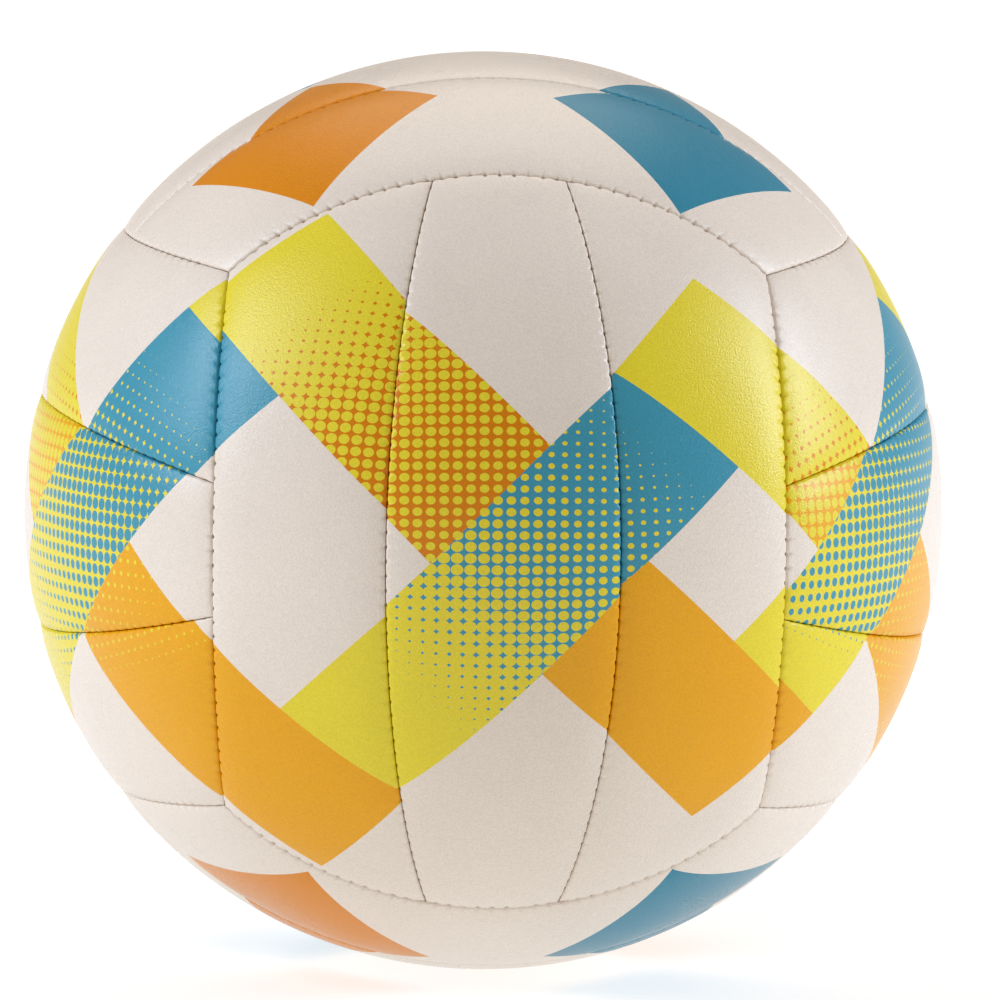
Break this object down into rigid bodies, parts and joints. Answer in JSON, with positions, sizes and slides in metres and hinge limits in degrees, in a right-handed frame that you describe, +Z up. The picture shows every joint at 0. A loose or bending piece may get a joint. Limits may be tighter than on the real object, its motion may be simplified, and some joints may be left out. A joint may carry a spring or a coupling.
{
  "type": "volleyball",
  "caption": "Stitched inflatable volleyball: soft printed panels of parallel strips over foam, cloth lining and a rubber bladder, with a needle valve in one panel.",
  "frame": {"origin": "the ball's centre", "axes": "+Z up, +Y from the centre out through the valve, away from the viewer in the picture, +X to the viewer's right"},
  "size_m": [0.213, 0.213, 0.213],
  "materials": {
    "cover_skin": "soft grained synthetic leather, satin, printed with crossing yellow, orange and blue bands",
    "foam": "open soft foam, matt",
    "lining_cloth": "plain woven polyester and cotton cloth",
    "thread": "bonded polyester sewing thread",
    "bladder_rubber": "moulded butyl rubber, dusted matt",
    "valve_rubber": "moulded butyl rubber, matt",
    "core_rubber": "soft moulded rubber, satin",
    "patch_cloth": "plain woven cotton cloth"
  },
  "bodies": {
    "root": {"cover_front_left": "cover_skin", "cover_front_middle": "cover_skin", "cover_front_right": "cover_skin", "cover_back_left": "cover_skin", "cover_back_middle": "cover_skin", "cover_back_right": "cover_skin", "cover_top_front": "cover_skin", "cover_top_middle": "cover_skin", "cover_top_back": "cover_skin", "cover_bottom_front": "cover_skin", "cover_bottom_middle": "cover_skin", "cover_bottom_back": "cover_skin", "cover_left_upper": "cover_skin", "cover_left_middle": "cover_skin", "cover_left_lower": "cover_skin", "cover_right_upper": "cover_skin", "cover_right_middle": "cover_skin", "cover_right_lower": "cover_skin", "foam_front_left": "foam", "foam_front_middle": "foam", "foam_front_right": "foam", "foam_back_left": "foam", "foam_back_middle": "foam", "foam_back_right": "foam", "foam_top_front": "foam", "foam_top_middle": "foam", "foam_top_back": "foam", "foam_bottom_front": "foam", "foam_bottom_middle": "foam", "foam_bottom_back": "foam", "foam_left_upper": "foam", "foam_left_middle": "foam", "foam_left_lower": "foam", "foam_right_upper": "foam", "foam_right_middle": "foam", "foam_right_lower": "foam", "lining_front": "lining_cloth", "lining_back": "lining_cloth", "lining_top": "lining_cloth", "lining_bottom": "lining_cloth", "lining_left": "lining_cloth", "lining_right": "lining_cloth", "edge_thread_front": "thread", "edge_thread_back": "thread", "edge_thread_top": "thread", "edge_thread_bottom": "thread", "edge_thread_left": "thread", "edge_thread_right": "thread", "strip_thread_front": "thread", "strip_thread_back": "thread", "strip_thread_top": "thread", "strip_thread_bottom": "thread", "strip_thread_left": "thread", "strip_thread_right": "thread", "bladder": "bladder_rubber", "valve_housing": "valve_rubber", "valve_core": "core_rubber", "valve_patch": "patch_cloth"}
  },
  "joints": []
}
